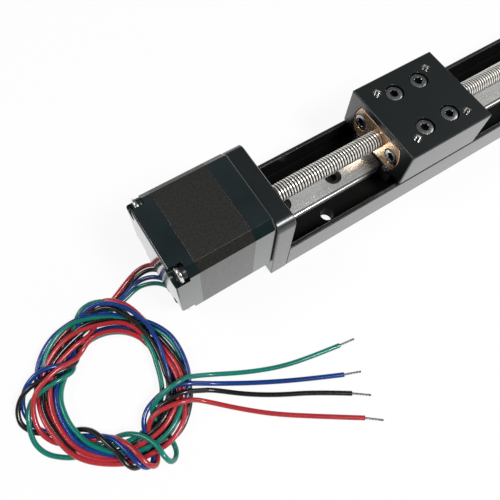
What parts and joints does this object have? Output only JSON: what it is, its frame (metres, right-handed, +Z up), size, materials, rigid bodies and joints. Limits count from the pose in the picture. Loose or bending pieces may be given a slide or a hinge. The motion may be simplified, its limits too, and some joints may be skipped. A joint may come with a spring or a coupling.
{
  "type": "motorised linear translation stage",
  "caption": "Slim motorised linear stage: stepper motor, fine-pitch screw, profile-rail carriage in a black channel, and a coil of free lead wires.",
  "frame": {"origin": "centre of the four mounting holes on the underside of the base channel", "axes": "+X along the screw away from the motor, +Z up from the underside to the carriage table, +Y across the stage"},
  "size_m": [0.2495, 0.0852, 0.0338],
  "materials": {
    "black_anodised": "satin black anodised",
    "black_casting": "smooth semi-gloss black paint",
    "laminated_steel": "matt stacked laminations, dark grey brown",
    "ground_steel": "ground and polished",
    "bright_steel": "bright rolled stainless",
    "bearing_steel": "ground",
    "ball_steel": "polished",
    "black_screw": "black oxide",
    "zinc_screw": "bright zinc plated",
    "bright_screw": "bright stainless",
    "bronze": "machined bronze",
    "copper_winding": "enamelled copper",
    "magnet": "ground",
    "black_plastic": "moulded nylon",
    "seal_rubber": "moulded",
    "wire_red": "PVC insulation",
    "wire_black": "PVC insulation",
    "wire_blue": "PVC insulation",
    "wire_green": "PVC insulation",
    "tinned_copper": "tinned strands"
  },
  "bodies": {
    "base": {"base_channel": "black_anodised", "guide_rail": "ground_steel", "rail_screws": "black_screw", "motor_bracket": "black_anodised", "bracket_screws": "black_screw", "motor_mount_screws": "black_screw", "end_block": "black_anodised", "end_block_screws": "black_screw", "motor_front_bell": "black_casting", "stator_stack": "laminated_steel", "stator_windings": "copper_winding", "motor_rear_bell": "black_casting", "motor_screws": "zinc_screw", "wire_outlet": "black_plastic", "motor_front_bearing_outer": "bearing_steel", "motor_rear_bearing_outer": "bearing_steel", "end_bearing_outer": "bearing_steel", "wire_coil": "wire_red", "lead_red": "wire_red", "tail_red": "wire_red", "tip_red": "tinned_copper", "lead_black": "wire_black", "tail_black": "wire_black", "tip_black": "tinned_copper", "lead_blue": "wire_blue", "tail_blue": "wire_blue", "tip_blue": "tinned_copper", "lead_green": "wire_green", "tail_green": "wire_green", "tip_green": "tinned_copper"},
    "screw": {"motor_front_bearing_inner": "bearing_steel", "motor_front_bearing_balls": "ball_steel", "motor_rear_bearing_inner": "bearing_steel", "motor_rear_bearing_balls": "ball_steel", "end_bearing_inner": "bearing_steel", "end_bearing_balls": "ball_steel", "rotor_rear_core": "laminated_steel", "rotor_magnet": "magnet", "rotor_front_core": "laminated_steel", "lead_screw": "bright_steel", "retaining_clip": "bright_steel"},
    "carriage": {"carriage_plate": "black_anodised", "carriage_screws": "bright_screw", "guide_block": "ground_steel", "guide_end_caps": "black_plastic", "guide_end_seals": "seal_rubber", "end_cap_screws": "bright_screw", "guide_balls": "ball_steel", "lead_nut": "bronze", "nut_screws": "bright_screw"}
  },
  "joints": [
    {"name": "carriage_slide", "type": "slide", "parent": "base", "child": "carriage", "axis": [1, 0, 0], "range_m": [-0.03075, 0.06925]},
    {"name": "screw_spin", "type": "hinge", "parent": "base", "child": "screw", "pos_m": [0, 0, 0.0197], "axis": [-1, 0, 0], "range_deg": [-11075, 24935]}
  ],
  "couplings": [
    {"joint": "screw_spin", "follows": "carriage_slide", "rad_per_m": 6283.2}
  ]
}
